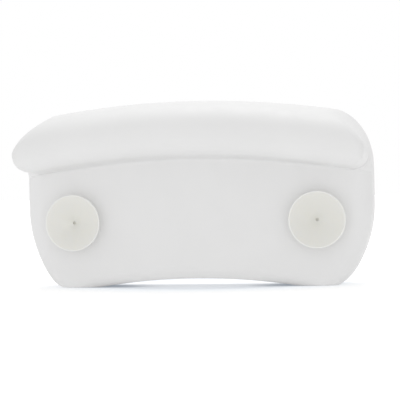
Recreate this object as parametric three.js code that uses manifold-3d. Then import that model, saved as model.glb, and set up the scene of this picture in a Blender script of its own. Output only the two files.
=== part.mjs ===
import * as THREE from 'three';
import { mergeVertices } from 'three/addons/utils/BufferGeometryUtils.js';
import Module from 'manifold-3d';

// A moulded bath pillow. Its lip hooks over the bath's rim and two suction cups grip the wall.
// Millimetres. +X is the bather's left, +Y points back to the bath wall and +Z is up.
// Until the last shift the flat back lies on y = 0 at the middle and the feet stand on z = 0.

// Body, measured at the feet line before the arch lifts the middle
const bodyHalfWidth = 155.5; // half of the greatest width
const bodyDepth = 62.5; // flat back to the belly of the head side
const bellyHeight = 78; // where the head side swells most
const crestHeight = 157.5; // top of the pillow above the feet line
const crestSetback = 17; // crest ahead of the flat back
const crestInset = 30.5; // ends of the crest, in from the full width
const shoulderHeight = 115; // where the ends start to round over to the crest
const sideRise = 80; // where the ends reach the full width
const footInset = 50.5; // ends of the lower edge, in from the full width
const footSetback = 12; // lower edge ahead of the flat back, also its rounding
const footDepth = 32; // lower edge, front to back
const rearEdgeRadius = 17; // rounding between the back and the ends
const frontEdgeRadius = 20; // rounding between the head side and the ends

// Lip that hooks over the bath's rim
const creaseHeight = 107; // where the lip springs from the back
const creaseRadius = 4; // fillet in that corner
const lipReach = 53.5; // how far the lip stands out from the back
const lipNoseRadius = 14; // rounding under the lip's nose
const lipUnderRise = 2; // rise of the lip's underside towards the nose
const lipTipHeight = 128; // where the lip's ends reach out furthest
const lipInset = 1.5; // those tips, in from the full width
const lipCrestInset = 46; // ends of the lip at the crest's height, in from the full width
const lipShoulder = 1.55; // power of the slope between the two, 1 is straight and 2 an ellipse
const lipEndRadius = 6; // rounding between the lip's nose and its ends

// Sweep of the whole moulding
const archRadius = 790; // arch of the back, the lip and the crest
const archHalfSpan = 107.5; // where that arch crosses the feet line
const footArchRadius = 550; // tighter arch of the lower edge
const footArchHalfSpan = 89; // where the lower edge meets the ground at each foot
const footArchHeight = 40; // where one arch has passed into the other
const backRadius = 1400; // bow of the back in plan, to suit a curved bath wall

// Fullness of the curves, as shares of each curve's own run
const bellyFullness = 0.66;
const footFullness = 0.76;
const brow = 0.61;
const noseFullness = 0.8;
const crownFullness = 0.68;
const crownEnd = 0.93; // the last level before the narrow strip that closes the crest
const edgeShare = 0.9; // the most of a level's depth that its two edges may round
const levelLean = 0.05; // how much the levels follow the length of the rear curve
const backCrowding = 1.4; // over 1 draws the levels of the back towards the foot

// Skin and the gap kept between neighbouring pieces
const skinThickness = 2;
const clearance = 0.3;

// Suction cups, along their own axis; 0 is the surface of the back
const cupInset = 47; // centre in from the full width
const cupHeight = 58.5; // centre above the feet
const cupRadius = 25;
const cupProud = 9.5; // rim above the back
const cupHollow = 6.4; // depth of the hollow
const cupRimWidth = 1.1; // flat ring that seals on the wall
const cupRimThickness = 0.9;
const cupNeckRadius = 8;
const cupWebThickness = 2; // wall of the dome beside the neck
const cupBulge = 1.3; // power of the dome's curve, 1 is a plain cone
const dimpleRadius = 1.6;
const dimpleDepth = 1.1;
const stemRadius = 4.8;
const stemLength = 22; // from the neck's shoulder
const stemChamfer = 0.8;

// Sockets that snap into the anchors and hold the stems
const socketFlangeRadius = 12;
const socketFlangeThickness = 1.5;
const socketWall = 1.9;
const socketEndWall = 3;
const socketBead = 0.7; // snap bead that stands out from the barrel
const socketBeadHalfWidth = 0.8;
const socketBeadInset = 5; // bead's middle from the barrel's closed end
const flangeChamfer = 0.5;

// Anchors moulded into the foam, with holes that the foam flows through
const anchorFlangeRadius = 18;
const anchorFlangeThickness = 2.2;
const anchorWall = 2.7;
const anchorEndWall = 2.5;
const foamHoleRadius = 2.2;
const foamHoleCount = 6;

// Facets
const roundSides = 28;
const holeSides = 10;
const flatSteps = 3;
const frontEdgeSteps = 2;
const endSteps = 2;
const rearEdgeSteps = 2;
const lipSteps = 2;
const lipEdgeSteps = 2;
const footSteps = 3;
const backSteps = 4;
const creaseSteps = 2;
const underSteps = 2;
const noseSteps = 3;
const crownSteps = 5;
const domeSteps = 5;
const searchSteps = 40; // halvings when a curve is searched for a height

const wasm = await Module();
wasm.setup();

// Closed meshes

function weld(geometry) {
  geometry.deleteAttribute('normal');
  geometry.deleteAttribute('uv');
  const merged = mergeVertices(geometry, 1e-3);
  const source = merged.index.array;
  const kept = [];
  for (let i = 0; i < source.length; i += 3) {
    const [a, b, c] = [source[i], source[i + 1], source[i + 2]];
    if (a !== b && b !== c && c !== a) kept.push(a, b, c);
  }
  merged.setIndex(kept);
  if (signedVolume(merged) < 0) merged.setIndex(kept.reverse());
  return merged;
}

function signedVolume(geometry) {
  const points = geometry.attributes.position;
  const index = geometry.index.array;
  const corners = [new THREE.Vector3(), new THREE.Vector3(), new THREE.Vector3()];
  let sum = 0;
  for (let i = 0; i < index.length; i += 3) {
    corners.forEach((corner, k) => corner.fromBufferAttribute(points, index[i + k]));
    sum += corners[0].dot(corners[1].clone().cross(corners[2]));
  }
  return sum / 6;
}

function toManifold(geometry) {
  const welded = weld(geometry);
  const vertProperties = new Float32Array(welded.attributes.position.array);
  const triVerts = new Uint32Array(welded.index.array);
  return new wasm.Manifold(new wasm.Mesh({ numProp: 3, vertProperties, triVerts }));
}

function toGeometry(manifold) {
  const mesh = manifold.getMesh();
  const geometry = new THREE.BufferGeometry();
  geometry.setAttribute('position', new THREE.BufferAttribute(new Float32Array(mesh.vertProperties), 3));
  geometry.setIndex(Array.from(mesh.triVerts));
  return geometry;
}

function lathe(profile) {
  return new THREE.LatheGeometry(profile.map(([r, v]) => new THREE.Vector2(r, v)), roundSides);
}

// Side profile of the pillow: x of a profile point is the pillow's y, y is its z.
// Each curve takes a depth: 0 is the outside of the skin and more lies inside it.

const footCentre = new THREE.Vector2(-footSetback, footSetback);
const creaseCentre = new THREE.Vector2(creaseRadius, creaseHeight - creaseRadius);
const noseCentre = new THREE.Vector2(
  lipReach - lipNoseRadius,
  creaseHeight + lipUnderRise + lipNoseRadius,
);

function crestAt(depth) {
  return new THREE.Vector2(-crestSetback, crestHeight - depth);
}

function arcPoints(centre, radius, fromAngle, toAngle, steps) {
  const points = [];
  for (let i = 0; i <= steps; i += 1) {
    const angle = THREE.MathUtils.lerp(fromAngle, toAngle, i / steps);
    points.push(new THREE.Vector2(Math.cos(angle), Math.sin(angle)).multiplyScalar(radius).add(centre));
  }
  return points;
}

// Points between two ends, without the ends
function linePoints(start, end, steps, crowding) {
  const points = [];
  for (let i = 1; i < steps; i += 1) points.push(start.clone().lerp(end, (i / steps) ** crowding));
  return points;
}

// Foot, flat back, crease, underside, nose and crown, from the ground to the crest
function rearProfile(depth) {
  const { lerp } = THREE.MathUtils;
  const quarter = Math.PI / 2;
  const crest = crestAt(depth);
  const foot = arcPoints(footCentre, footSetback - depth, -quarter, 0, footSteps);
  const crease = arcPoints(creaseCentre, creaseRadius + depth, Math.PI, quarter, creaseSteps);
  const nose = arcPoints(noseCentre, lipNoseRadius - depth, -quarter, 0, noseSteps);
  const tip = nose[noseSteps];
  const crown = new THREE.CubicBezierCurve(
    tip,
    new THREE.Vector2(tip.x, lerp(tip.y, crest.y, noseFullness)),
    new THREE.Vector2(lerp(crest.x, tip.x, crownFullness), crest.y),
    crest,
  );
  const top = [];
  for (let i = 1; i <= crownSteps; i += 1) top.push(crown.getPoint(crownEnd * (i / crownSteps)));
  return [
    ...foot,
    ...linePoints(foot[footSteps], crease[0], backSteps, backCrowding),
    ...crease,
    ...linePoints(crease[creaseSteps], nose[0], underSteps, 1),
    ...nose,
    ...top,
  ];
}

// The head side, from its foot by the belly to the crest, at a height; it only ever rises
function frontPoint(height, depth) {
  const { lerp } = THREE.MathUtils;
  const foot = new THREE.Vector2(-footSetback - footDepth, depth);
  const belly = new THREE.Vector2(depth - bodyDepth, bellyHeight);
  const crest = crestAt(depth);
  const low = new THREE.CubicBezierCurve(
    foot,
    new THREE.Vector2(lerp(foot.x, belly.x, footFullness), foot.y),
    new THREE.Vector2(belly.x, lerp(belly.y, foot.y, bellyFullness)),
    belly,
  );
  const high = new THREE.CubicBezierCurve(
    belly,
    new THREE.Vector2(belly.x, lerp(belly.y, crest.y, brow)),
    new THREE.Vector2(lerp(crest.x, belly.x, brow), crest.y),
    crest,
  );
  const side = height < bellyHeight ? low : high;
  let [from, to] = [0, 1];
  for (let i = 0; i < searchSteps; i += 1) {
    const middle = (from + to) / 2;
    if (side.getPoint(middle).y < height) from = middle;
    else to = middle;
  }
  return side.getPoint((from + to) / 2);
}

// Quarter of an ellipse: 1 at the start of its run and 0 at the end
function roundShare(share) {
  return Math.sqrt(Math.max(0, 1 - share * share));
}

// Half width of the body's end outline at a height
function bodyHalf(height, depth) {
  const { lerp } = THREE.MathUtils;
  const full = bodyHalfWidth - depth;
  if (height < sideRise) {
    return lerp(bodyHalfWidth - footInset, full, roundShare((sideRise - height) / (sideRise - depth)));
  }
  const share = Math.max(0, height - shoulderHeight) / (crestAt(depth).y - shoulderHeight);
  return lerp(bodyHalfWidth - crestInset, full, roundShare(share));
}

// Half width of the lip's end at a height: it slopes from the crest down to a tip
function lipHalf(height, depth) {
  const share = Math.max(0, height - lipTipHeight) / (crestAt(depth).y - lipTipHeight);
  const full = bodyHalfWidth - lipInset - depth;
  const slope = Math.max(0, 1 - share ** lipShoulder) ** (1 / lipShoulder);
  return THREE.MathUtils.lerp(bodyHalfWidth - lipCrestInset, full, slope);
}

// Half width at a point of the end view: the body passes into the lip behind the crest
function endHalf(point, depth) {
  const { lerp, smoothstep } = THREE.MathUtils;
  const onLip = smoothstep(point.x, -crestSetback, noseCentre.x);
  return lerp(bodyHalf(point.y, depth), lipHalf(point.y, depth), onLip);
}

// The rounded rear edge of the body's ends; above the crease it fades out up to the lip's tip
function edgeTuck(point, depth, back, radius) {
  const { clamp, smoothstep } = THREE.MathUtils;
  const out = clamp((point.x - creaseRadius) / (noseCentre.x - creaseRadius), 0, 1);
  const under = creaseHeight + depth + lipUnderRise * out;
  const below = clamp((lipTipHeight - point.y) / (lipTipHeight - under), 0, 1);
  const along = clamp((point.x - back) / radius + 1, 0, 1);
  const full = radius + depth * smoothstep(point.x, back, back + lipEndRadius);
  return full * (1 - roundShare(below)) * (1 - roundShare(along));
}

// 0 on the flat back, 1 on the lip
function lipShare(point) {
  return point.y > noseCentre.y ? 1 : THREE.MathUtils.smoothstep(point.x, 0, lipEndRadius);
}

// How far up each level starts on the head side, as shares of its height
const levelShares = (() => {
  const points = rearProfile(0);
  let climb = 0;
  const heights = points.map((point, i) => {
    if (i > 0) climb += point.distanceTo(points[i - 1]);
    return point.y + levelLean * climb;
  });
  return heights.map((height) => height / heights[heights.length - 1]);
})();

// Where a level starts on the head side and ends on the rear
function levelEnds(level, depth) {
  const height = THREE.MathUtils.lerp(depth, crestAt(depth).y, levelShares[level]);
  return [frontPoint(height, depth), rearProfile(depth)[level]];
}

// Values after the first of a run, even or drawn together towards its end
function spread(start, end, steps, rounded) {
  const shares = Array.from({ length: steps }, (_, i) => (i + 1) / steps);
  const share = (even) => (rounded ? Math.sin((Math.PI / 2) * even) : even);
  return shares.map((even) => THREE.MathUtils.lerp(start, end, share(even)));
}

// One level of the loft, as a ring from the front's middle round the +X end and back.
// Below the crease the columns of the lip's end meet in one point.
function ring(level, depth) {
  const { clamp } = THREE.MathUtils;
  const [front, rear] = levelEnds(level, depth);
  const [outerFront, outerRear] = levelEnds(level, 0);
  const run = front.distanceTo(rear);
  const back = Math.min(rear.x, -depth);
  const frontEdge = frontEdgeRadius - (front.x - outerFront.x);
  const rearEdge = rearEdgeRadius - (Math.min(outerRear.x, 0) - back);
  const lipEdge = Math.max(0, lipEndRadius * lipShare(outerRear) - (outerRear.x - rear.x));
  const squeeze = Math.min(1, (run * edgeShare) / (frontEdge + Math.max(rearEdge, lipEdge)));
  const [frontRadius, rearRadius, lipRadius] = [frontEdge, rearEdge, lipEdge].map((r) => r * squeeze);
  const reach = (x) => (run * (x - front.x)) / (rear.x - front.x);
  const lipEdgeFrom = run - lipRadius;
  const lipFrom = Math.min(reach(back), lipEdgeFrom);
  const rearEdgeFrom = clamp(reach(back - rearRadius), frontRadius, lipFrom);
  const pointAt = (t) => front.clone().lerp(rear, clamp(t / run, 0, 1));
  const halfAt = (t) => {
    const point = pointAt(t);
    const past = lipRadius > 0 ? clamp((t - lipEdgeFrom) / lipRadius, 0, 1) : 0;
    const tuck = edgeTuck(point, depth, back, rearRadius) + lipRadius * (1 - roundShare(past));
    return endHalf(point, depth) - tuck;
  };
  const half = [];
  for (let i = 0; i < flatSteps; i += 1) half.push([(halfAt(0) - frontRadius) * (i / flatSteps), 0]);
  for (let i = 0; i <= frontEdgeSteps; i += 1) {
    const angle = (Math.PI / 2) * (i / frontEdgeSteps);
    const t = frontRadius * (1 - Math.cos(angle));
    half.push([halfAt(t) - frontRadius * (1 - Math.sin(angle)), t]);
  }
  const stops = [
    ...spread(frontRadius, rearEdgeFrom, endSteps, false),
    ...spread(rearEdgeFrom, lipFrom, rearEdgeSteps, true),
    ...spread(lipFrom, lipEdgeFrom, lipSteps, false),
    ...spread(lipEdgeFrom, run, lipEdgeSteps, true),
  ];
  stops.forEach((t) => half.push([halfAt(t), t]));
  const flatEnd = half[half.length - 1][0];
  for (let i = 1; i <= flatSteps; i += 1) half.push([flatEnd * (1 - i / flatSteps), run]);
  const mirrored = half.slice(1, -1).reverse().map(([x, t]) => [-x, t]);
  return [...half, ...mirrored].map(([x, t]) => sweep(x, pointAt(t), depth));
}

// Arch the moulding, bow it in plan and stand its feet flat on the ground
function sweep(x, point, depth) {
  const footLift = archLift(x, footArchHalfSpan, footArchRadius);
  const mainLift = archLift(x, archHalfSpan, archRadius);
  const share = THREE.MathUtils.smoothstep(point.y, 0, footArchHeight);
  const height = point.y + THREE.MathUtils.lerp(footLift, mainLift, share);
  return new THREE.Vector3(x, point.x + bow(x), Math.max(depth, height));
}

function archLift(x, halfSpan, radius) {
  return (halfSpan * halfSpan - x * x) / (2 * radius);
}

function bow(x) {
  return (-x * x) / (2 * backRadius);
}

// Faces between the levels, with a strip below and one on the crest that close the surface
function stitch(rings) {
  const columns = rings[0].length;
  const points = rings.flat();
  const index = [];
  const at = (level, column) => level * columns + ((column + columns) % columns);
  const quad = (a, b, c, d) => {
    if (points[a].distanceTo(points[c]) <= points[b].distanceTo(points[d])) index.push(a, b, c, a, c, d);
    else index.push(a, b, d, b, c, d);
  };
  for (let level = 0; level + 1 < rings.length; level += 1) {
    for (let column = 0; column < columns; column += 1) {
      quad(at(level, column), at(level, column + 1), at(level + 1, column + 1), at(level + 1, column));
    }
  }
  const last = rings.length - 1;
  const turn = Math.round(columns / 4); // the column at the middle of the +X end
  for (let i = 0; i < columns / 2; i += 1) {
    const [a, b] = [turn - i, turn - i - 1];
    const [c, d] = [turn + i + 1, turn + i];
    if (i === 0) index.push(at(0, d), at(0, b), at(0, c), at(last, d), at(last, c), at(last, b));
    else if (i < columns / 2 - 1) {
      quad(at(0, a), at(0, b), at(0, c), at(0, d));
      quad(at(last, d), at(last, c), at(last, b), at(last, a));
    } else index.push(at(0, a), at(0, b), at(0, d), at(last, a), at(last, d), at(last, b));
  }
  return index;
}

function levels(depth) {
  return levelShares.map((share, level) => ring(level, depth));
}

const facets = stitch(levels(0));

// The pillow's closed surface at a depth, with the same faces at every depth
function pillowSurface(depth) {
  const geometry = new THREE.BufferGeometry();
  const positions = levels(depth).flat().flatMap((point) => point.toArray());
  geometry.setAttribute('position', new THREE.Float32BufferAttribute(positions, 3));
  geometry.setIndex([...facets]);
  return geometry;
}

// Cup, socket and anchor, turned about their common axis

const boreRadius = stemRadius + clearance;
const barrelRadius = boreRadius + socketWall;
const skinHoleRadius = barrelRadius + clearance;
const flangeTop = clearance + socketFlangeThickness;
const shoulder = flangeTop + clearance;
const stemEnd = shoulder - stemLength;
const boreEnd = stemEnd - clearance;
const barrelEnd = boreEnd - socketEndWall;
const beadMiddle = barrelEnd + socketBeadInset;
const anchorTop = -skinThickness - 2 * clearance;
const anchorUnder = anchorTop - anchorFlangeThickness;
const anchorRadius = skinHoleRadius + anchorWall;
const anchorBoreEnd = barrelEnd - clearance;
const anchorEnd = anchorBoreEnd - anchorEndWall;
const foamHoleCircle = (anchorRadius + anchorFlangeRadius) / 2;

function cupGeometry() {
  const hollowRadius = cupRadius - cupRimWidth;
  const apex = cupProud - cupHollow;
  const hollowAt = (r) => apex + cupHollow * (r / hollowRadius) ** cupBulge;
  const wallAt = (r) => {
    const share = (r - cupNeckRadius) / (cupRadius - cupNeckRadius);
    return THREE.MathUtils.lerp(cupWebThickness, cupRimThickness, share);
  };
  const profile = [[0, stemEnd], [stemRadius - stemChamfer, stemEnd], [stemRadius, stemEnd + stemChamfer]];
  profile.push([stemRadius, shoulder], [cupNeckRadius, shoulder]);
  for (let i = 0; i <= domeSteps; i += 1) {
    const r = THREE.MathUtils.lerp(cupNeckRadius, cupRadius, i / domeSteps);
    profile.push([r, Math.min(hollowAt(r), cupProud) - wallAt(r)]);
  }
  profile.push([cupRadius, cupProud]);
  for (let i = domeSteps; i >= 1; i -= 1) {
    const r = THREE.MathUtils.lerp(dimpleRadius, hollowRadius, i / domeSteps);
    profile.push([r, hollowAt(r)]);
  }
  profile.push([dimpleRadius, hollowAt(dimpleRadius)], [0, hollowAt(dimpleRadius) - dimpleDepth]);
  return weld(lathe(profile));
}

function socketGeometry() {
  const beadRadius = barrelRadius + socketBead;
  return weld(lathe([
    [0, barrelEnd],
    [barrelRadius - socketBead, barrelEnd],
    [barrelRadius, barrelEnd + socketBead],
    [barrelRadius, beadMiddle - socketBeadHalfWidth],
    [beadRadius, beadMiddle],
    [barrelRadius, beadMiddle + socketBeadHalfWidth],
    [barrelRadius, clearance],
    [socketFlangeRadius, clearance],
    [socketFlangeRadius, flangeTop - flangeChamfer],
    [socketFlangeRadius - flangeChamfer, flangeTop],
    [boreRadius, flangeTop],
    [boreRadius, boreEnd],
    [0, boreEnd],
  ]));
}

// Upright cylinders along the axis at each of the anchor's foam holes
function foamHoles(radius) {
  const holes = [];
  for (let i = 0; i < foamHoleCount; i += 1) {
    const angle = (2 * Math.PI * i) / foamHoleCount;
    const length = anchorFlangeThickness * 3;
    const geometry = new THREE.CylinderGeometry(radius, radius, length, holeSides);
    const middle = (anchorTop + anchorUnder) / 2;
    geometry.translate(foamHoleCircle * Math.cos(angle), middle, foamHoleCircle * Math.sin(angle));
    holes.push(toManifold(geometry));
  }
  return holes;
}

function anchorGeometry() {
  const grooveRadius = skinHoleRadius + socketBead;
  const grooveHalf = socketBeadHalfWidth + clearance;
  const body = toManifold(lathe([
    [0, anchorEnd],
    [anchorRadius, anchorEnd],
    [anchorRadius, anchorUnder],
    [anchorFlangeRadius, anchorUnder],
    [anchorFlangeRadius, anchorTop],
    [skinHoleRadius, anchorTop],
    [skinHoleRadius, beadMiddle + grooveHalf],
    [grooveRadius, beadMiddle],
    [skinHoleRadius, beadMiddle - grooveHalf],
    [skinHoleRadius, anchorBoreEnd],
    [0, anchorBoreEnd],
  ]));
  return toGeometry(foamHoles(foamHoleRadius).reduce((rest, hole) => rest.subtract(hole), body));
}

// The room that an anchor takes in the foam, with the pegs of foam that fill its holes left standing
function anchorPocket() {
  const above = anchorFlangeThickness + skinThickness;
  const pocket = toManifold(lathe([
    [0, anchorEnd - clearance],
    [anchorRadius + clearance, anchorEnd - clearance],
    [anchorRadius + clearance, anchorUnder - clearance],
    [anchorFlangeRadius + clearance, anchorUnder - clearance],
    [anchorFlangeRadius + clearance, above],
    [0, above],
  ]));
  return foamHoles(foamHoleRadius - clearance).reduce((rest, peg) => rest.subtract(peg), pocket);
}

function skinHole() {
  const reach = 2 * skinThickness;
  return toManifold(lathe([[0, -reach], [skinHoleRadius, -reach], [skinHoleRadius, reach], [0, reach]]));
}

// Where each cup sits, square to the bowed back
const sides = [['left', 1], ['right', -1]].map(([name, sign]) => {
  const x = sign * (bodyHalfWidth - cupInset);
  const frame = new THREE.Object3D();
  frame.position.set(x, bow(x), cupHeight);
  frame.rotation.z = -Math.asin(x / backRadius);
  frame.updateMatrix();
  return { name, frame };
});

function placed(manifold, frame) {
  return manifold.transform(frame.matrix.toArray());
}

const finishes = {
  skin: { color: 0xe9e9ea, roughness: 0.5, metalness: 0 },
  foam: { color: 0xf1eddf, roughness: 0.95, metalness: 0 },
  anchor: { color: 0xe4e4e0, roughness: 0.45, metalness: 0 },
  socket: { color: 0xdfe0da, roughness: 0.4, metalness: 0 },
  cup: { color: 0xdddcd4, roughness: 0.25, metalness: 0 },
};

function piece(name, geometry, finish) {
  const mesh = new THREE.Mesh(geometry, new THREE.MeshStandardMaterial(finishes[finish]));
  mesh.name = name;
  return mesh;
}

const pillow = new THREE.Group();

let skin = toManifold(pillowSurface(0)).subtract(toManifold(pillowSurface(skinThickness)));
let core = toManifold(pillowSurface(skinThickness + clearance));
for (const { frame } of sides) {
  skin = skin.subtract(placed(skinHole(), frame));
  core = core.subtract(placed(anchorPocket(), frame));
}
pillow.add(piece('outer_skin', toGeometry(skin), 'skin'));
pillow.add(piece('foam_core', toGeometry(core), 'foam'));

for (const { name, frame } of sides) {
  const set = new THREE.Group();
  set.position.copy(frame.position);
  set.rotation.copy(frame.rotation);
  set.add(piece(`anchor_insert_${name}`, anchorGeometry(), 'anchor'));
  set.add(piece(`cup_socket_${name}`, socketGeometry(), 'socket'));
  set.add(piece(`suction_cup_${name}`, cupGeometry(), 'cup'));
  pillow.add(set);
}

// The origin is below the middle of the pillow's box
const box = new THREE.Box3().setFromObject(pillow);
pillow.position.y = -(box.min.y + box.max.y) / 2;

export default pillow;
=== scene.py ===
import math
import bmesh
import bpy
from mathutils import Matrix, Vector


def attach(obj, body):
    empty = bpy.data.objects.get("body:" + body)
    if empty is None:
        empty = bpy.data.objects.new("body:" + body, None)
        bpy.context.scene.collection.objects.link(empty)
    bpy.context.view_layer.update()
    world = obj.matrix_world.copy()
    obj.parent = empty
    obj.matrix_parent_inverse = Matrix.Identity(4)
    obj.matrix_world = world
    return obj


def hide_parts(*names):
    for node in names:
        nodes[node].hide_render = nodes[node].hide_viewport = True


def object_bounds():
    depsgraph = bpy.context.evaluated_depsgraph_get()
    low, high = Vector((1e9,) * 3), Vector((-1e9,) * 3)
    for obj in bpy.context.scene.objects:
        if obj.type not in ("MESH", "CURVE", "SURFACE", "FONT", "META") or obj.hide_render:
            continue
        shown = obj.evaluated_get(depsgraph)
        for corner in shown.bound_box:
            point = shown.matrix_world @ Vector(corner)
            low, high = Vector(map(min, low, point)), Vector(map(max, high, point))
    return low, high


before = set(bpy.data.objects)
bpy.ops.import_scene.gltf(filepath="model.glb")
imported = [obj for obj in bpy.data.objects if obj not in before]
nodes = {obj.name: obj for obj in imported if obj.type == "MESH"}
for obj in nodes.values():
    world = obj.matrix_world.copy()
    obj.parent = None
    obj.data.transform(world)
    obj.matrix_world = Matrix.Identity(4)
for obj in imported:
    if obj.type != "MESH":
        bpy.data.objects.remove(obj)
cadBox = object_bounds()
mm = 0.001
nearZero = 1e-6
softEdge = 40  # degrees; a sharper turn stays an edge
turnedEdge = 35
print("frame loaded:", ", ".join(sorted(nodes)))


# Small helpers

def lerp(a, b, t):
    return a + (b - a) * t


def clamp(v, low, high):
    return max(low, min(high, v))


def ease(v, low, high):
    t = clamp((v - low) / (high - low), 0, 1)
    return t * t * (3 - 2 * t)


def roundShare(share):  # quarter of an ellipse, 1 down to 0
    return math.sqrt(max(0, 1 - share * share))


def bezier(a, b, c, d, t):
    return a * (1 - t) ** 3 + b * 3 * t * (1 - t) ** 2 + c * 3 * t * t * (1 - t) + d * t ** 3


def shadeSmooth(obj, sharpFrom):
    obj.data.polygons.foreach_set("use_smooth", [True] * len(obj.data.polygons))
    obj.data.set_sharp_from_angle(angle=math.radians(sharpFrom))


def newObject(name, verts, faces, sharpFrom=softEdge):
    mesh = bpy.data.meshes.new(name)
    mesh.from_pydata(verts, [], faces)
    work = bmesh.new()
    work.from_mesh(mesh)
    bmesh.ops.remove_doubles(work, verts=work.verts, dist=nearZero)
    work.to_mesh(mesh)
    work.free()
    mesh.validate()
    obj = bpy.data.objects.new(name, mesh)
    bpy.context.scene.collection.objects.link(obj)
    shadeSmooth(obj, sharpFrom)
    return obj


def cutAway(obj, tools):
    for tool in tools:
        cut = obj.modifiers.new("cut", "BOOLEAN")
        cut.operation = "DIFFERENCE"
        cut.solver = "EXACT"
        cut.object = tool
    bpy.context.view_layer.update()
    graph = bpy.context.evaluated_depsgraph_get()
    done = bpy.data.meshes.new_from_object(obj.evaluated_get(graph))
    obj.modifiers.clear()
    old = obj.data
    obj.data = done
    bpy.data.meshes.remove(old)
    for tool in tools:
        bpy.data.objects.remove(tool)
    shadeSmooth(obj, softEdge)


# The moulding, in millimetres; its flat back lies on y = 0 until shiftY is added
pillow = {
    "halfWidth": 155.5, "depth": 62.5, "bellyHeight": 78, "shoulderHeight": 115, "sideRise": 80,
    "crestHeight": 157.5, "crestSetback": 17, "crestInset": 30.5, "rearEdge": 17, "frontEdge": 20,
    "footInset": 50.5, "footSetback": 12, "footDepth": 32, "wall": 2, "gap": 0.3,
    "creaseHeight": 107, "creaseRadius": 4, "creaseFade": 26,
    "lipReach": 53.5, "lipNose": 14, "lipUnderRise": 2, "lipInset": 1.5, "lipCrestInset": 46,
    "lipShoulder": 1.55, "lipTip": 128, "lipEdge": 6,
    "archRadius": 790, "archHalfSpan": 107.5, "footArchRadius": 550, "footArchHalfSpan": 89,
    "footArchHeight": 40, "backRadius": 1400,
    # shares: how full the curves are, and how edges and levels are spread
    "bellyFullness": 0.66, "footFullness": 0.76, "brow": 0.61, "noseFullness": 0.8,
    "crownFullness": 0.68, "crownEnd": 0.985, "edgeShare": 0.9, "levelLean": 0.05,
    # how finely it is meshed
    "footSteps": 10, "backSteps": 34, "creaseSteps": 10, "underSteps": 14, "noseSteps": 14,
    "crownSteps": 46, "flatSteps": 44, "edgeSteps": 8, "endSteps": 14, "halvings": 40,
    "outerDetail": 1, "innerDetail": 0.5,
}
shiftY = cadBox[1][1] / mm - pillow["lipReach"]  # the lip's nose is the rearmost point of the frame
footCentre = Vector((-pillow["footSetback"], pillow["footSetback"]))
creaseCentre = Vector((pillow["creaseRadius"], pillow["creaseHeight"] - pillow["creaseRadius"]))
noseCentre = Vector((pillow["lipReach"] - pillow["lipNose"],
                     pillow["creaseHeight"] + pillow["lipUnderRise"] + pillow["lipNose"]))


def stepsFor(stretch, detail):
    return max(2, round(pillow[stretch + "Steps"] * detail))


def crestAt(inset):
    return Vector((-pillow["crestSetback"], pillow["crestHeight"] - inset))


def arcPoints(centre, radius, start, end, steps):
    angles = [lerp(start, end, i / steps) for i in range(steps + 1)]
    return [centre + Vector((math.cos(a), math.sin(a))) * radius for a in angles]


def linePoints(start, end, steps):  # only those between the ends
    return [start.lerp(end, i / steps) for i in range(1, steps)]


def rearProfile(inset, detail):  # foot, back, crease, underside, nose and crown
    quarter = math.pi / 2
    foot = arcPoints(footCentre, pillow["footSetback"] - inset, -quarter, 0, stepsFor("foot", detail))
    crease = arcPoints(creaseCentre, pillow["creaseRadius"] + inset, math.pi, quarter,
                       stepsFor("crease", detail))
    nose = arcPoints(noseCentre, pillow["lipNose"] - inset, -quarter, 0, stepsFor("nose", detail))
    back = linePoints(foot[-1], crease[0], stepsFor("back", detail))
    under = linePoints(crease[-1], nose[0], stepsFor("under", detail))
    tip = nose[-1]
    crest = crestAt(inset)
    high = Vector((tip.x, lerp(tip.y, crest.y, pillow["noseFullness"])))
    over = Vector((lerp(crest.x, tip.x, pillow["crownFullness"]), crest.y))
    steps = stepsFor("crown", detail)
    crown = [bezier(tip, high, over, crest, pillow["crownEnd"] * i / steps) for i in range(1, steps + 1)]
    return foot + back + crease + under + nose + crown


def frontPoint(height, inset):  # the head side at a height
    foot = Vector((-pillow["footSetback"] - pillow["footDepth"], inset))
    belly = Vector((inset - pillow["depth"], pillow["bellyHeight"]))
    crest = crestAt(inset)
    low = (foot, Vector((lerp(foot.x, belly.x, pillow["footFullness"]), foot.y)),
           Vector((belly.x, lerp(belly.y, foot.y, pillow["bellyFullness"]))), belly)
    high = (belly, Vector((belly.x, lerp(belly.y, crest.y, pillow["brow"]))),
            Vector((lerp(crest.x, belly.x, pillow["brow"]), crest.y)), crest)
    side = low if height < pillow["bellyHeight"] else high
    a, b = 0.0, 1.0
    for _ in range(pillow["halvings"]):
        middle = (a + b) / 2
        if bezier(*side, middle).y < height:
            a = middle
        else:
            b = middle
    return bezier(*side, (a + b) / 2)


def bodyHalf(height, inset):
    full = pillow["halfWidth"] - inset
    if height < pillow["sideRise"]:
        share = (pillow["sideRise"] - height) / (pillow["sideRise"] - inset)
        return lerp(pillow["halfWidth"] - pillow["footInset"], full, roundShare(share))
    share = max(0, height - pillow["shoulderHeight"]) / (crestAt(inset).y - pillow["shoulderHeight"])
    return lerp(pillow["halfWidth"] - pillow["crestInset"], full, roundShare(share))


def lipHalf(height, inset):  # the lip's ends slope from the crest down to a tip
    share = max(0, height - pillow["lipTip"]) / (crestAt(inset).y - pillow["lipTip"])
    full = pillow["halfWidth"] - pillow["lipInset"] - inset
    slope = max(0, 1 - share ** pillow["lipShoulder"]) ** (1 / pillow["lipShoulder"])
    return lerp(pillow["halfWidth"] - pillow["lipCrestInset"], full, slope)


def endHalf(point, inset):  # the body's end passes into the lip's end behind the crest
    onLip = ease(point.x, -pillow["crestSetback"], noseCentre.x)
    return lerp(bodyHalf(point.y, inset), lipHalf(point.y, inset), onLip)


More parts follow.
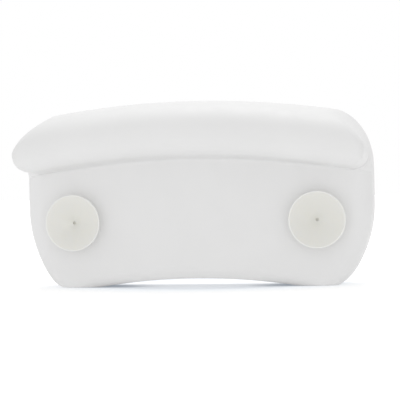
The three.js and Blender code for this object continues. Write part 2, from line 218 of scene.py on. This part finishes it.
def edgeTuck(point, inset, back, radius):  # the body's rounded rear edge; gone at the lip's tip
    out = clamp((point.x - pillow["creaseRadius"]) / (noseCentre.x - pillow["creaseRadius"]), 0, 1)
    under = pillow["creaseHeight"] + inset + pillow["lipUnderRise"] * out
    below = clamp((pillow["lipTip"] - point.y) / (pillow["lipTip"] - under), 0, 1)
    along = clamp((point.x - back) / radius + 1, 0, 1)
    full = radius + inset * ease(point.x, back, back + pillow["lipEdge"])
    return full * (1 - roundShare(below)) * (1 - roundShare(along))


def archLift(x, halfSpan, radius):
    return (halfSpan * halfSpan - x * x) / (2 * radius)


def bow(x):
    return -x * x / (2 * pillow["backRadius"])


def sweep(x, point, inset):  # arch it, bow it in plan and stand its feet flat
    foot = archLift(x, pillow["footArchHalfSpan"], pillow["footArchRadius"])
    main = archLift(x, pillow["archHalfSpan"], pillow["archRadius"])
    height = point.y + lerp(foot, main, ease(point.y, 0, pillow["footArchHeight"]))
    return Vector((x, point.x + bow(x) + shiftY, max(inset, height))) * mm


def spread(start, end, steps, closing=False):  # values after the start, even or closing up to the end
    shares = [i / steps for i in range(1, steps + 1)]
    return [lerp(start, end, math.sin(math.pi / 2 * share) if closing else share) for share in shares]


def ring(front, rear, outerFront, outerRear, inset, detail):  # outline at one level, head side first
    flat, edge, end = (stepsFor(stretch, detail) for stretch in ("flat", "edge", "end"))
    run = (rear - front).length
    back = min(rear.x, -inset)
    inCrease = outerRear.x > nearZero and outerRear.y < pillow["creaseHeight"]
    onLip = 1 if outerRear.y > noseCentre.y else ease(outerRear.x, 0, pillow["lipEdge"])
    frontEdge = pillow["frontEdge"] - (front.x - outerFront.x)
    rearEdge = pillow["rearEdge"] - (min(outerRear.x, 0) - back)
    lipEdge = 0 if inCrease else max(0, pillow["lipEdge"] * onLip - (outerRear.x - rear.x))
    squeeze = min(1, run * pillow["edgeShare"] / (frontEdge + max(rearEdge, lipEdge)))
    frontEdge, rearEdge, lipEdge = frontEdge * squeeze, rearEdge * squeeze, lipEdge * squeeze
    lipEdgeFrom = run - lipEdge
    lipFrom = min(run * (back - front.x) / (rear.x - front.x), lipEdgeFrom)
    rearEdgeFrom = clamp(run * (back - rearEdge - front.x) / (rear.x - front.x), frontEdge, lipFrom)

    def at(t):
        return front.lerp(rear, clamp(t / run, 0, 1))

    def halfAt(t):
        past = clamp((t - lipEdgeFrom) / lipEdge, 0, 1) if lipEdge else 0
        tuck = edgeTuck(at(t), inset, back, rearEdge) + lipEdge * (1 - roundShare(past))
        return endHalf(at(t), inset) - tuck

    half = [((halfAt(0) - frontEdge) * i / flat, 0) for i in range(flat)]
    for i in range(edge + 1):
        angle = math.pi / 2 * i / edge
        t = frontEdge * (1 - math.cos(angle))
        half.append((halfAt(t) - frontEdge * (1 - math.sin(angle)), t))
    # the crease's rounding stops at the back and fades in away from the end
    lipTurn, lipStop = (lipFrom, lipFrom) if inCrease else (lipEdgeFrom, run)
    stops = spread(frontEdge, rearEdgeFrom, end) + spread(rearEdgeFrom, lipFrom, 2 * edge, True)
    stops += spread(lipFrom, lipTurn, end) + spread(lipTurn, lipStop, edge, True)
    half += [(halfAt(t), t) for t in stops]
    flatEnd = half[-1][0]
    for i in range(1, flat + 1):
        x = flatEnd * (1 - i / flat)
        half.append((x, lerp(run, lipStop, ease(x, flatEnd - pillow["creaseFade"], flatEnd))))
    half += [(-x, t) for x, t in reversed(half[1:-1])]
    return [sweep(x, at(t), inset) for x, t in half]


def loft(inset, detail):  # closed surface at a depth below the outside: points and faces
    outer = rearProfile(0, detail)
    heights, climb = [], 0
    for i, point in enumerate(outer):
        climb += (point - outer[i - 1]).length if i else 0
        heights.append(point.y + pillow["levelLean"] * climb)
    rings = []
    for height, rear, outerRear in zip(heights, rearProfile(inset, detail), outer):
        share = height / heights[-1]
        front = frontPoint(lerp(inset, crestAt(inset).y, share), inset)
        outerFront = frontPoint(lerp(0, crestAt(0).y, share), 0)
        rings.append(ring(front, rear, outerFront, outerRear, inset, detail))
    columns = len(rings[0])
    last = (len(rings) - 1) * columns
    faces = []
    for level in range(len(rings) - 1):
        for c in range(columns):
            a, b = level * columns + c, level * columns + (c + 1) % columns
            faces.append((a, b, b + columns, a + columns))
    turn = round(columns / 4)  # the column at the middle of the +X end
    far = columns // 2 - 1
    strips = [tuple((turn + k) % columns for k in (-i, -i - 1, i + 1, i)) for i in range(1, far)]
    strips.append((turn, (turn - 1) % columns, turn + 1))
    strips.append(((turn + far) % columns, (turn - far) % columns, (turn - far - 1) % columns))
    for strip in strips:  # they close the foot and the crest
        faces.append(strip)
        faces.append(tuple(last + c for c in reversed(strip)))
    return [tuple(v) for r in rings for v in r], faces


# Round pieces, turned about their own +Y; 0 is the surface of the back
cupSides = [("left", 1), ("right", -1)]
cupPlace = {"inset": 47, "height": 58.5}


def cupFrame(sign):
    x = sign * (pillow["halfWidth"] - cupPlace["inset"])
    turn = Matrix.Rotation(-math.asin(x / pillow["backRadius"]), 4, "Z")
    return Matrix.Translation(Vector((x, bow(x) + shiftY, cupPlace["height"])) * mm) @ turn


def turned(name, profile, sign, segments):  # profile of (radius, height) in mm
    verts, faces, rows = [], [], []
    for r, v in profile:
        if r < nearZero:
            rows.append([len(verts)])
            verts.append((0, v * mm, 0))
        else:
            rows.append(list(range(len(verts), len(verts) + segments)))
            for i in range(segments):
                a = 2 * math.pi * i / segments
                verts.append((r * mm * math.cos(a), v * mm, r * mm * math.sin(a)))
    for low, high in zip(rows, rows[1:]):
        for i in range(segments):
            j = (i + 1) % segments
            if len(low) == 1:
                faces.append((low[0], high[i], high[j]))
            elif len(high) == 1:
                faces.append((low[i], high[0], low[j]))
            else:
                faces.append((low[i], high[i], high[j], low[j]))
    obj = newObject(name, verts, faces, turnedEdge)
    obj.matrix_world = cupFrame(sign)
    return obj


def rounded(points, radius, steps=3, mostOfSide=0.45):  # a profile with its inner corners rounded
    out = [points[0]]
    for a, b, c in zip(points, points[1:], points[2:]):
        a, b, c = Vector(a), Vector(b), Vector(c)
        r = min(radius, (a - b).length * mostOfSide, (c - b).length * mostOfSide)
        start, end = b + (a - b).normalized() * r, b + (c - b).normalized() * r
        for i in range(steps + 1):
            t = i / steps
            q = start * (1 - t) ** 2 + b * 2 * t * (1 - t) + end * t * t
            out.append((q.x, q.y))
    return out + [points[-1]]


# Nodes, and the node groups that several finishes share
noiseSpan = {"From Min": 0.3, "From Max": 0.7}  # most of a noise's values lie in it
mixSockets = {"FLOAT": (2, 3, 0), "RGBA": (6, 7, 2)}  # a Mix node's A, B and result


def addNode(tree, kind, values=None, **settings):
    node = tree.nodes.new("ShaderNode" + kind)
    for key, value in settings.items():
        setattr(node, key, value)
    for key, value in (values or {}).items():
        node.inputs[key].default_value = value
    return node


def mixed(tree, kind, share, first, second):
    node = addNode(tree, "Mix", data_type=kind)
    a, b, result = mixSockets[kind]
    tree.links.new(share, node.inputs["Factor"])
    tree.links.new(first, node.inputs[a])
    tree.links.new(second, node.inputs[b])
    return node.outputs[result]


def awayFrom(tree, vector, shape, place=(0, 0, 0)):  # distance from the middle of an oval
    scaled = addNode(tree, "VectorMath", operation="MULTIPLY_ADD")
    scaled.inputs[1].default_value = shape
    scaled.inputs[2].default_value = place
    away = addNode(tree, "VectorMath", operation="LENGTH")
    tree.links.new(vector, scaled.inputs[0])
    tree.links.new(scaled.outputs["Vector"], away.inputs[0])
    return away.outputs["Value"]


def fillRamp(node, stops):  # stops of (place, colour)
    ramp = node.color_ramp.elements
    for i, (place, colour) in enumerate(stops):
        stop = ramp[0] if i == 0 else ramp[-1] if i == len(stops) - 1 else ramp.new(place)
        stop.position = place
        stop.color = (*colour, 1)


def makeGroup(name, inputs, outputs):
    tree = bpy.data.node_groups.new(name, "ShaderNodeTree")
    for way, sockets in (("INPUT", inputs), ("OUTPUT", outputs)):
        for label, kind in sockets.items():
            tree.interface.new_socket(label, in_out=way, socket_type="NodeSocket" + kind)
    return tree, tree.nodes.new("NodeGroupInput"), tree.nodes.new("NodeGroupOutput")


def mouldGrainGroup():  # fine matt texture that a mould leaves: a height and a shine mask
    tree, source, sink = makeGroup("mouldGrain", {
        "Vector": "Vector", "Grain Scale": "Float", "Ripple Scale": "Float", "Ripple Share": "Float"},
        {"Height": "Float", "Shine": "Float"})
    link = tree.links.new
    grain = addNode(tree, "TexNoise", {"Detail": 3.0, "Roughness": 0.6})
    ripple = addNode(tree, "TexNoise", {"Detail": 2.0, "Roughness": 0.5})
    for noise, scale in ((grain, "Grain Scale"), (ripple, "Ripple Scale")):
        link(source.outputs["Vector"], noise.inputs["Vector"])
        link(source.outputs[scale], noise.inputs["Scale"])
    share = source.outputs["Ripple Share"]
    height = mixed(tree, "FLOAT", share, grain.outputs["Fac"], ripple.outputs["Fac"])
    link(height, sink.inputs["Height"])
    link(ripple.outputs["Fac"], sink.inputs["Shine"])
    return tree


def toneDriftGroup():  # slow drift between two tones, as in hand-mixed resin
    tree, source, sink = makeGroup("toneDrift", {
        "Vector": "Vector", "Tone": "Color", "Other Tone": "Color", "Scale": "Float"}, {"Color": "Color"})
    link = tree.links.new
    noise = addNode(tree, "TexNoise", {"Detail": 4.0, "Roughness": 0.55, "Distortion": 0.4})
    link(source.outputs["Vector"], noise.inputs["Vector"])
    link(source.outputs["Scale"], noise.inputs["Scale"])
    drift = addNode(tree, "MapRange", noiseSpan)
    link(noise.outputs["Fac"], drift.inputs["Value"])
    share = drift.outputs["Result"]
    tone = mixed(tree, "RGBA", share, source.outputs["Tone"], source.outputs["Other Tone"])
    link(tone, sink.inputs["Color"])
    return tree


mouldGrain = mouldGrainGroup()
toneDrift = toneDriftGroup()


def placeGroup(tree, group, vector, values):
    node = tree.nodes.new("ShaderNodeGroup")
    node.node_tree = group
    tree.links.new(vector, node.inputs["Vector"])
    for key, value in values.items():
        node.inputs[key].default_value = value
    return node


def driftingTone(tree, vector, look):
    node = placeGroup(tree, toneDrift, vector, {
        "Tone": (*look["tone"], 1), "Other Tone": (*look["otherTone"], 1), "Scale": look["driftScale"]})
    return node.outputs["Color"]


def newFinish(name):
    material = bpy.data.materials.new(name)
    material.use_nodes = True
    tree = material.node_tree
    shader = tree.nodes["Principled BSDF"]
    coords = addNode(tree, "TexCoord")
    return material, tree, shader, coords.outputs["Object"]


def mouldedFinish(name, look):  # a moulded surface: drifting tone, grain bump and uneven shine
    material, tree, shader, vector = newFinish(name)
    link = tree.links.new
    grain = placeGroup(tree, mouldGrain, vector, {
        "Grain Scale": look["grainScale"], "Ripple Scale": look["rippleScale"],
        "Ripple Share": look["rippleShare"]})
    smooth, rough = look["roughness"]
    shine = addNode(tree, "MapRange", {**noiseSpan, "To Min": smooth, "To Max": rough})
    bump = addNode(tree, "Bump", {"Strength": look["bump"], "Distance": look["bumpDepth"]})
    link(driftingTone(tree, vector, look), shader.inputs["Base Color"])
    link(grain.outputs["Shine"], shine.inputs["Value"])
    link(shine.outputs["Result"], shader.inputs["Roughness"])
    link(grain.outputs["Height"], bump.inputs["Height"])
    link(bump.outputs["Normal"], shader.inputs["Normal"])
    shader.inputs["Specular IOR Level"].default_value = look["specular"]
    return material


def dress(obj, material):
    obj.data.materials.clear()
    obj.data.materials.append(material)


# Outer skin, with a hole for each socket
skin = {
    "holeRadius": 7.3, "holeReach": 4, "holeSegments": 64,
    "tone": (0.838, 0.837, 0.836), "otherTone": (0.82, 0.819, 0.818), "driftScale": 16.0,
    "grainScale": 1500.0, "rippleScale": 90.0, "rippleShare": 0.35,
    "roughness": (0.5, 0.62), "specular": 0.35, "bump": 0.25, "bumpDepth": 0.00012,
}


def drill(sign):
    r, reach = skin["holeRadius"], skin["holeReach"]
    return turned("drill", [(0, -reach), (r, -reach), (r, reach), (0, reach)], sign, skin["holeSegments"])


outerVerts, outerFaces = loft(0, pillow["outerDetail"])
innerVerts, innerFaces = loft(pillow["wall"], pillow["innerDetail"])
innerFrom = len(outerVerts)
shell = outerFaces + [tuple(innerFrom + i for i in reversed(face)) for face in innerFaces]
pillowSkin = newObject("pillow_skin", outerVerts + innerVerts, shell)
cutAway(pillowSkin, [drill(sign) for side, sign in cupSides])
dress(pillowSkin, mouldedFinish("satinSkin", skin))
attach(pillowSkin, "pillow")
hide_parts("outer_skin")
print("skin made:", len(pillowSkin.data.polygons), "faces")


# Foam core, sealed in the skin, with a pocket for each anchor
core = {
    "pocketBarrel": 10.3, "pocketFlange": 18.3, "pocketLedge": -5.1, "pocketEnd": -26.3, "pocketTop": 6,
    "pocketSegments": 48,
    "tone": (0.87, 0.83, 0.72), "otherTone": (0.8, 0.75, 0.62), "driftScale": 30.0,
    "cellScale": 700.0, "bump": 0.8, "bumpDepth": 0.0006, "roughness": 0.95,
}


def foamFinish():
    material, tree, shader, vector = newFinish("openFoam")
    link = tree.links.new
    cells = addNode(tree, "TexVoronoi", {"Scale": core["cellScale"]}, feature="DISTANCE_TO_EDGE")
    bump = addNode(tree, "Bump", {"Strength": core["bump"], "Distance": core["bumpDepth"]})
    link(driftingTone(tree, vector, core), shader.inputs["Base Color"])
    link(vector, cells.inputs["Vector"])
    link(cells.outputs["Distance"], bump.inputs["Height"])
    link(bump.outputs["Normal"], shader.inputs["Normal"])
    shader.inputs["Roughness"].default_value = core["roughness"]
    return material


def anchorPocket(sign):
    barrel, flange = core["pocketBarrel"], core["pocketFlange"]
    end, ledge, top = core["pocketEnd"], core["pocketLedge"], core["pocketTop"]
    profile = [(0, end), (barrel, end), (barrel, ledge), (flange, ledge), (flange, top), (0, top)]
    return turned("pocket", profile, sign, core["pocketSegments"])


coreVerts, coreFaces = loft(pillow["wall"] + pillow["gap"], pillow["innerDetail"])
foamCore = newObject("foam_filling", coreVerts, coreFaces)
cutAway(foamCore, [anchorPocket(sign) for side, sign in cupSides])
dress(foamCore, foamFinish())
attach(foamCore, "pillow")
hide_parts("foam_core")
print("core made:", len(foamCore.data.polygons), "faces")


# Anchors, which stay as they were drawn
anchor = {
    "tone": (0.66, 0.66, 0.63), "otherTone": (0.62, 0.62, 0.59), "driftScale": 60.0,
    "grainScale": 2500.0, "rippleScale": 300.0, "rippleShare": 0.5,
    "roughness": (0.4, 0.5), "specular": 0.5, "bump": 0.3, "bumpDepth": 0.0001,
}
anchorFinish = mouldedFinish("anchorPlastic", anchor)
for side, sign in cupSides:
    dress(nodes["anchor_insert_" + side], anchorFinish)
print("anchors dressed")


# Sockets that take the cups' stems
socket = {
    "barrel": 7.0, "end": -23.2, "endChamfer": 0.7, "bead": 0.7, "beadHalf": 0.8, "beadAt": -18.2,
    "flange": 12, "flangeTop": 1.8, "flangeEase": (0.5, 0.2),
    "ringAt": 9.4, "ringHalf": 0.5, "ringDepth": 0.25,
    "bore": 5.1, "boreEnd": -20.2, "mouth": 0.7, "corner": 0.3, "segments": 96,
    "tone": (0.7, 0.705, 0.67), "otherTone": (0.66, 0.665, 0.63), "driftScale": 80.0,
    "grainScale": 2500.0, "rippleScale": 400.0, "rippleShare": 0.5,
    "roughness": (0.32, 0.45), "specular": 0.5, "bump": 0.3, "bumpDepth": 0.0001,
}


def socketProfile():
    radius, end, chamfer = socket["barrel"], socket["end"], socket["endChamfer"]
    beadAt, beadHalf = socket["beadAt"], socket["beadHalf"]
    edge, top, under = socket["flange"], socket["flangeTop"], pillow["gap"]
    easeIn, easeDown = socket["flangeEase"]
    ringAt, ringHalf = socket["ringAt"], socket["ringHalf"]
    hole, mouth = socket["bore"], socket["mouth"]
    barrel = [(0, end), (radius - chamfer, end), (radius, end + chamfer), (radius, beadAt - beadHalf),
              (radius + socket["bead"], beadAt), (radius, beadAt + beadHalf), (radius, under)]
    flange = [(edge, under), (edge, top - easeDown), (edge - easeIn, top), (ringAt + ringHalf, top),
              (ringAt, top - socket["ringDepth"]), (ringAt - ringHalf, top)]
    bore = [(hole + mouth, top), (hole, top - mouth), (hole, socket["boreEnd"]), (0, socket["boreEnd"])]
    return rounded(barrel + flange + bore, socket["corner"])


socketFinish = mouldedFinish("socketPlastic", socket)
for side, sign in cupSides:
    piece = turned("stem_socket_" + side, socketProfile(), sign, socket["segments"])
    dress(piece, socketFinish)
    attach(piece, "socket_" + side)
    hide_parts("cup_socket_" + side)
print("sockets made")


# Suction cups
cup = {
    "radius": 25, "proud": 9.5, "hollow": 6.4, "bulge": 1.3, "land": 1.1, "rimThick": 0.9,
    "neck": 8, "web": 2.0, "shoulder": 2.1, "dimple": 1.3, "dimpleDepth": 1.3, "dimpleTaper": 0.75,
    "stem": 4.8, "stemEnd": -19.9, "stemChamfer": 0.8,
    "ribs": 3, "ribHeight": 0.18, "ribHalf": 0.6, "ribPitch": 3.2, "ribFrom": -16.5,
    "corner": 0.25, "domeSteps": 26, "segments": 128,
    # tones from the middle to the rim: painted shade darkening towards the dimple in the middle, and a
    # painted highlight on the rim
    "stops": [(0.0, (0.58, 0.575, 0.525)), (0.045, (0.63, 0.625, 0.575)), (0.065, (0.715, 0.71, 0.66)),
              (0.3, (0.77, 0.765, 0.72)), (0.9, (0.8, 0.795, 0.755)), (0.955, (0.805, 0.8, 0.765)),
              (0.975, (0.88, 0.88, 0.86)), (1.0, (0.88, 0.88, 0.86))],
    "ringScale": 520.0, "ringBump": 0.12, "ringDepth": 0.00002, "roughness": 0.3,
    "subsurface": 0.2, "subsurfaceReach": (0.004, 0.0038, 0.003), "clearness": 0.95,
}


def letLightThrough(tree, shader, share):  # thin vinyl casts only a pale shadow on what lies behind it
    ray = addNode(tree, "LightPath")
    clear = addNode(tree, "BsdfTransparent", {"Color": (share, share, share, 1)})
    both = addNode(tree, "MixShader")
    link = tree.links.new
    link(ray.outputs["Is Shadow Ray"], both.inputs["Fac"])
    link(shader.outputs["BSDF"], both.inputs[1])
    link(clear.outputs["BSDF"], both.inputs[2])
    link(both.outputs["Shader"], tree.nodes["Material Output"].inputs["Surface"])


def vinylFinish():  # soft milky vinyl with the fine rings of a turned mould
    material, tree, shader, vector = newFinish("softVinylPaintedShadeAndHighlight")
    link = tree.links.new
    perRadius = 1 / (cup["radius"] * mm)
    # the ramp paints shade darkening into the dimple and hollow, and a highlight on the rim
    tone = addNode(tree, "ValToRGB")
    fillRamp(tone, cup["stops"])
    rings = addNode(tree, "TexWave", {"Scale": cup["ringScale"]}, wave_type="RINGS", rings_direction="Y")
    bump = addNode(tree, "Bump", {"Strength": cup["ringBump"], "Distance": cup["ringDepth"]})
    link(awayFrom(tree, vector, (perRadius, 0, perRadius)), tone.inputs["Fac"])
    link(vector, rings.inputs["Vector"])
    link(rings.outputs["Fac"], bump.inputs["Height"])
    link(tone.outputs["Color"], shader.inputs["Base Color"])
    link(bump.outputs["Normal"], shader.inputs["Normal"])
    shader.inputs["Roughness"].default_value = cup["roughness"]
    shader.inputs["Subsurface Weight"].default_value = cup["subsurface"]
    shader.inputs["Subsurface Radius"].default_value = cup["subsurfaceReach"]
    letLightThrough(tree, shader, cup["clearness"])
    return material


def stemProfile():
    radius, end, chamfer, half = cup["stem"], cup["stemEnd"], cup["stemChamfer"], cup["ribHalf"]
    stem = [(0, end), (radius - chamfer, end), (radius, end + chamfer)]
    for i in range(cup["ribs"]):  # grip rings
        v = cup["ribFrom"] + i * cup["ribPitch"]
        stem += [(radius, v - half), (radius + cup["ribHeight"], v), (radius, v + half)]
    return stem + [(radius, cup["shoulder"]), (cup["neck"], cup["shoulder"])]


def cupProfile():
    steps = cup["domeSteps"]
    hollowRadius = cup["radius"] - cup["land"]

    def hollowAt(r):
        return cup["proud"] - cup["hollow"] + cup["hollow"] * (r / hollowRadius) ** cup["bulge"]

    dome = []
    for i in range(steps + 1):
        r = lerp(cup["neck"], cup["radius"], i / steps)
        wall = lerp(cup["web"], cup["rimThick"], i / steps)
        dome.append((r, min(hollowAt(r), cup["proud"]) - wall))
    rim = [(cup["radius"], cup["proud"]), (hollowRadius, cup["proud"])]
    hollow = []
    for i in range(steps - 1, 0, -1):
        r = lerp(cup["dimple"], hollowRadius, i / steps)
        hollow.append((r, hollowAt(r)))
    edge = hollowAt(cup["dimple"])
    bottom = edge - cup["dimpleDepth"]
    dimple = [(cup["dimple"], edge), (cup["dimple"] * cup["dimpleTaper"], bottom), (0, bottom)]
    return rounded(stemProfile() + dome + rim + hollow + dimple, cup["corner"])


cupFinish = vinylFinish()
for side, sign in cupSides:
    piece = turned("vinyl_cup_" + side, cupProfile(), sign, cup["segments"])
    dress(piece, cupFinish)
    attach(piece, "cup_" + side)
    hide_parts("suction_cup_" + side)
print("cups made")


# Studio: white floor, white surroundings, a lamp by the camera and one overhead
studio = {
    "around": 0.783, "lampAim": (0, 0, 0.08),
    "lamps": {"frontLamp": {"place": (0.3, 2.4, 0.02), "size": 0.8, "power": 9.2},
              "topLamp": {"place": (0.0, -0.6, 1.6), "size": 0.8, "power": 7.5}},
    "floorHalf": 4, "floorLevel": -0.0002, "floorTone": (0.92, 0.92, 0.92),
    # painted light that the camera sees added to the floor, by distance from an oval's middle; it dips
    # near the feet into a painted bluish shadow
    "shadeShape": (0.75, 1, 0), "shadePlace": (0, 0.05, 0),
    "floorPaintedLightAndShadow": [(0.0, (0.18, 0.2, 0.23)), (0.045, (0.16, 0.18, 0.21)), (0.066, (0.05, 0.08, 0.12)),
                  (0.09, (0.22, 0.25, 0.28)), (0.12, (0.3, 0.3, 0.3)), (0.2, (0.35, 0.35, 0.35)),
                  (1.0, (0.5, 0.5, 0.5))],
    # light that the floor sends up, less near the feet
    "bounceTone": (0.5, 0.5, 0.5), "bounceGlow": (0.2, 0.44),
    "footShape": (0.71, 1, 0), "footPlace": (-0.0586, 0.02, 0), "footFade": (0.016, 0.03),
}


def seenByCamera(tree):  # 1 for the camera's own rays and for mirrored and refracted ones
    path = addNode(tree, "LightPath")
    total = path.outputs["Is Camera Ray"]
    for other in ("Is Glossy Ray", "Is Transmission Ray"):
        most = addNode(tree, "Math", operation="MAXIMUM")
        tree.links.new(total, most.inputs[0])
        tree.links.new(path.outputs[other], most.inputs[1])
        total = most.outputs[0]
    return total


def showApart(tree, unseen, seen, out):  # one shader for the camera, another for the light's bounces
    mix = addNode(tree, "MixShader")
    tree.links.new(seenByCamera(tree), mix.inputs[0])
    tree.links.new(unseen.outputs[0], mix.inputs[1])
    tree.links.new(seen.outputs[0], mix.inputs[2])
    tree.links.new(mix.outputs[0], out.inputs["Surface"])


def makeSurroundings():
    world = bpy.data.worlds.new("studioWhite")
    world.use_nodes = True
    tree = world.node_tree
    tree.nodes.clear()
    light = addNode(tree, "Background", {"Color": (1, 1, 1, 1), "Strength": studio["around"]})
    seen = addNode(tree, "Background", {"Color": (1, 1, 1, 1), "Strength": 1.0})
    showApart(tree, light, seen, addNode(tree, "OutputWorld"))
    bpy.context.scene.world = world


def mattGlow(tree, tone):
    matt = addNode(tree, "BsdfDiffuse", {"Color": (*tone, 1)})
    glow = addNode(tree, "Emission", {"Color": (1, 1, 1, 1)})
    both = addNode(tree, "AddShader")
    tree.links.new(matt.outputs[0], both.inputs[0])
    tree.links.new(glow.outputs[0], both.inputs[1])
    return both, glow


def mirroredAcross(tree, vector):  # x without its sign, so that both feet are treated alike
    split = addNode(tree, "SeparateXYZ")
    either = addNode(tree, "Math", operation="ABSOLUTE")
    join = addNode(tree, "CombineXYZ")
    tree.links.new(vector, split.inputs[0])
    tree.links.new(split.outputs["X"], either.inputs[0])
    tree.links.new(either.outputs[0], join.inputs["X"])
    tree.links.new(split.outputs["Y"], join.inputs["Y"])
    return join.outputs[0]


def floorFinish():  # the camera sees it white away from the feet; the pillow sees an even pale table
    material = bpy.data.materials.new("paleFloorPaintedShadow")
    material.use_nodes = True
    tree = material.node_tree
    tree.nodes.clear()
    link = tree.links.new
    vector = addNode(tree, "TexCoord").outputs["Object"]
    seen, lift = mattGlow(tree, studio["floorTone"])
    bounce, glow = mattGlow(tree, studio["bounceTone"])
    # painted light on the floor, dimmer and bluish round the feet as a painted shadow
    shade = addNode(tree, "ValToRGB")
    fillRamp(shade, studio["floorPaintedLightAndShadow"])
    near, far = studio["footFade"]
    dim, full = studio["bounceGlow"]
    fade = addNode(tree, "MapRange", {"From Min": near, "From Max": far, "To Min": dim, "To Max": full})
    fromFoot = awayFrom(tree, mirroredAcross(tree, vector), studio["footShape"], studio["footPlace"])
    link(awayFrom(tree, vector, studio["shadeShape"], studio["shadePlace"]), shade.inputs["Fac"])
    link(shade.outputs["Color"], lift.inputs["Color"])
    link(fromFoot, fade.inputs["Value"])
    link(fade.outputs["Result"], glow.inputs["Strength"])
    showApart(tree, bounce, seen, addNode(tree, "OutputMaterial"))
    return material


def makeFloor():
    half, level = studio["floorHalf"], studio["floorLevel"]
    corners = [(-half, -half, level), (half, -half, level), (half, half, level), (-half, half, level)]
    floor = newObject("floor", corners, [(0, 1, 2, 3)])
    dress(floor, floorFinish())


def makeLamp(name, place, size, power):
    lamp = bpy.data.lights.new(name, "AREA")
    lamp.shape = "DISK"
    lamp.size = size
    lamp.energy = power
    obj = bpy.data.objects.new(name, lamp)
    bpy.context.scene.collection.objects.link(obj)
    obj.location = place
    aim = Vector(studio["lampAim"]) - Vector(place)
    obj.rotation_euler = aim.to_track_quat("-Z", "Y").to_euler()


makeSurroundings()
makeFloor()
for name, lamp in studio["lamps"].items():
    makeLamp(name, **lamp)
print("studio made")


# Camera behind the pillow, a little towards the bather's right
camera = {
    "targetHeight": 0.08, "azimuth": 9.8, "elevation": 1.09, "roll": -1.13, "distance": 1.65,
    "sensor": 36, "lens": 168.37, "shift": (0.0155, -0.00775),
}


def makeCamera():
    azimuth, elevation, roll = (math.radians(camera[k]) for k in ("azimuth", "elevation", "roll"))
    level = math.cos(elevation)
    back = Vector((-math.sin(azimuth) * level, math.cos(azimuth) * level, math.sin(elevation)))
    right = (-back).cross(Vector((0, 0, 1))).normalized()
    up = right.cross(-back)
    tilted = right * math.cos(roll) + up * math.sin(roll)
    upright = up * math.cos(roll) - right * math.sin(roll)
    turn = Matrix((tilted, upright, back)).transposed().to_4x4()
    target = Vector((0, shiftY * mm, camera["targetHeight"]))  # on the back's surface
    lens = bpy.data.cameras.new("camera")
    lens.sensor_width = camera["sensor"]
    lens.lens = camera["lens"]
    lens.shift_x, lens.shift_y = camera["shift"]
    obj = bpy.data.objects.new("camera", lens)
    bpy.context.scene.collection.objects.link(obj)
    obj.matrix_world = Matrix.Translation(target + back * camera["distance"]) @ turn
    bpy.context.scene.camera = obj


makeCamera()
bpy.context.scene.view_settings.view_transform = "Standard"
print("camera set")
